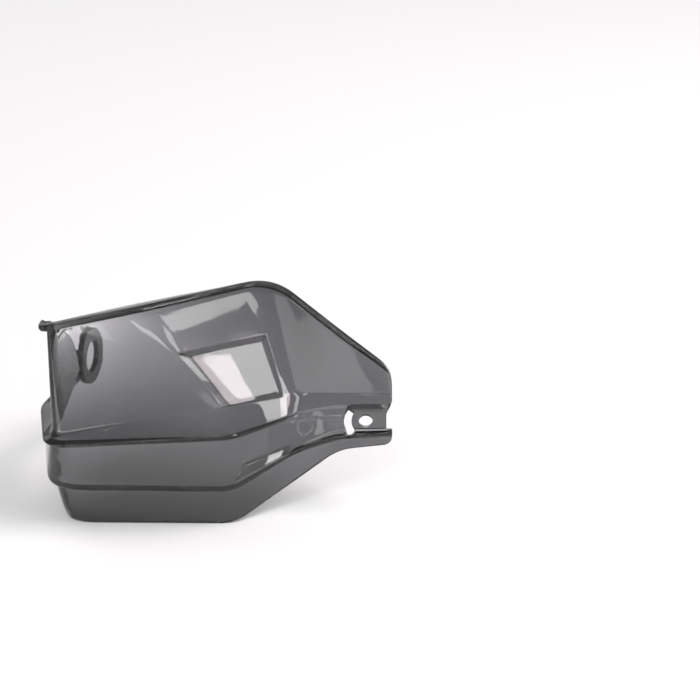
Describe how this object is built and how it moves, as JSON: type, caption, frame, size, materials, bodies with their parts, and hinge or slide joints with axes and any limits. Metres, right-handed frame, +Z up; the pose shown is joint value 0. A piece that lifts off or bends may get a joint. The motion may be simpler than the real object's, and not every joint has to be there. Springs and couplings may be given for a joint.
{
  "type": "motorcycle hand guard",
  "caption": "Moulded hand guard of smoked clear plastic: a bent windshield panel over a stepped front, with a bolt tab at one end and a bar-end ring on the side wall.",
  "frame": {"origin": "centre of the bolt hole in the tab, on the front face of its seat", "axes": "+Z up, +Y to the back of the guard along the bolt hole, +X to the end of the tab"},
  "size_m": [0.2145, 0.1325, 0.1247],
  "materials": {
    "smoked_plastic": "gloss, see-through grey"
  },
  "bodies": {
    "root": {"hand_guard": "smoked_plastic"}
  },
  "joints": []
}
